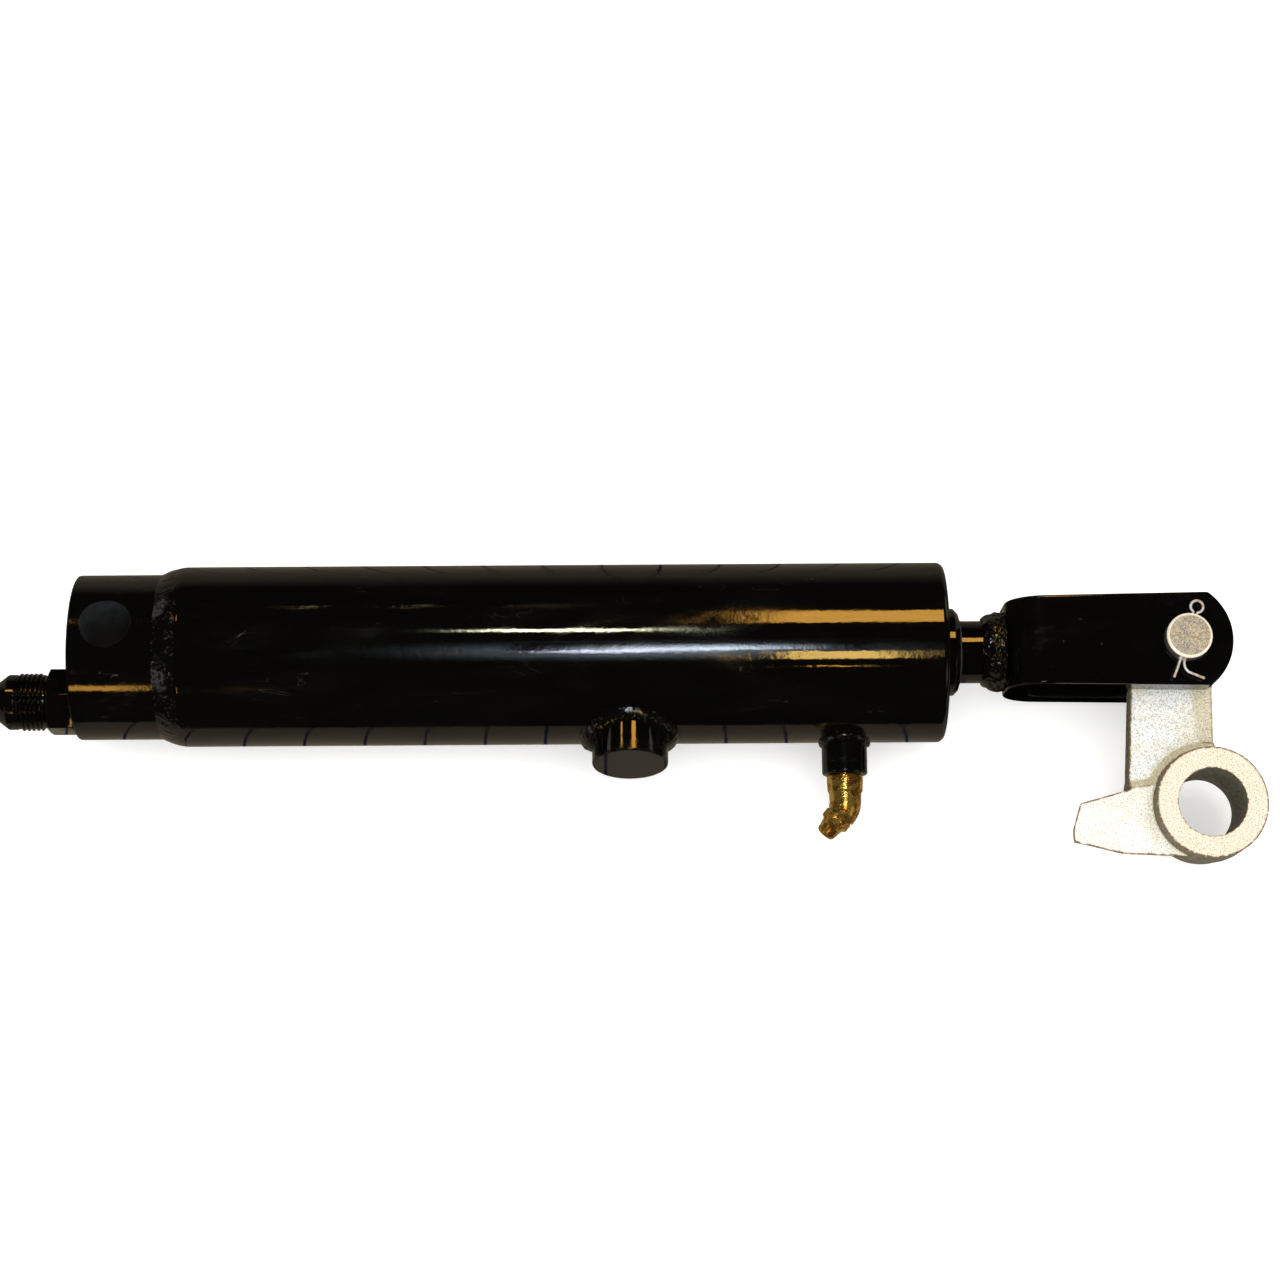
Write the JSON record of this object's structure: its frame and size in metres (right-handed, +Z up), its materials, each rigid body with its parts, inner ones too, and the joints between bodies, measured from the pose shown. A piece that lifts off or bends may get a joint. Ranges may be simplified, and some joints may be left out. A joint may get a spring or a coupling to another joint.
{
  "type": "hydraulic cylinder",
  "caption": "Welded hydraulic cylinder with a base cap cross hole, flare adapter, side stub, brass elbow port, and a rod clevis whose cottered pin carries a cast lever with an eye.",
  "frame": {"origin": "on the floor under the middle of the whole object's box, rod retracted", "axes": "+X along the cylinder's axis towards the rod's end, +Z up, through the base cap's cross hole; the side stub points to -Y"},
  "size_m": [0.5318, 0.1301, 0.0762],
  "materials": {
    "black_paint": "high gloss black enamel",
    "brass": "bright",
    "zinc_casting": "zinc plated casting, grainy",
    "zinc_steel": "zinc plated, satin",
    "machined_steel": "turned, oiled",
    "rubber": "matt",
    "polyurethane": "satin",
    "bearing_plastic": "satin",
    "hard_chrome": "ground and chromed; its outer end is painted over"
  },
  "bodies": {
    "barrel": {"barrel_tube": "black_paint", "base_cap": "black_paint", "base_weld": "black_paint", "side_boss": "black_paint", "side_boss_weld": "black_paint", "port_boss": "black_paint", "port_boss_weld": "black_paint", "port_elbow": "brass", "base_adapter": "black_paint", "adapter_o_ring": "rubber", "gland": "black_paint", "gland_o_ring": "rubber", "gland_backup_ring": "bearing_plastic", "rod_seal": "polyurethane", "rod_wiper": "rubber", "rod_wear_ring": "bearing_plastic"},
    "piston_rings": {"piston_seal": "bearing_plastic", "piston_seal_energizer": "rubber", "piston_wear_ring_rear": "bearing_plastic", "piston_wear_ring_front": "bearing_plastic"},
    "rod": {"piston_rod": "hard_chrome", "piston": "machined_steel", "piston_o_ring": "rubber", "piston_nut": "machined_steel", "stop_tube": "machined_steel", "clevis": "black_paint", "clevis_weld": "black_paint"},
    "pin": {"clevis_pin": "zinc_steel", "cotter_upper": "zinc_steel", "cotter_lower": "zinc_steel"},
    "lever": {"lever": "zinc_casting"}
  },
  "joints": [
    {"name": "rod_slide", "type": "slide", "parent": "barrel", "child": "piston_rings", "axis": [1, 0, 0], "range_m": [0, 0.2032]},
    {"name": "rod_roll", "type": "hinge", "parent": "piston_rings", "child": "rod", "pos_m": [0.06859, 0.02703, 0.0381], "axis": [1, 0, 0], "continuous": true},
    {"name": "pin_spin", "type": "hinge", "parent": "rod", "child": "pin", "pos_m": [0.23409, 0.0281, 0.03837], "axis": [0, -0.2419, 0.9703], "continuous": true},
    {"name": "lever_swing", "type": "hinge", "parent": "rod", "child": "lever", "pos_m": [0.23409, 0.0281, 0.03837], "axis": [0, -0.2419, 0.9703], "range_deg": [-38, 215]}
  ]
}
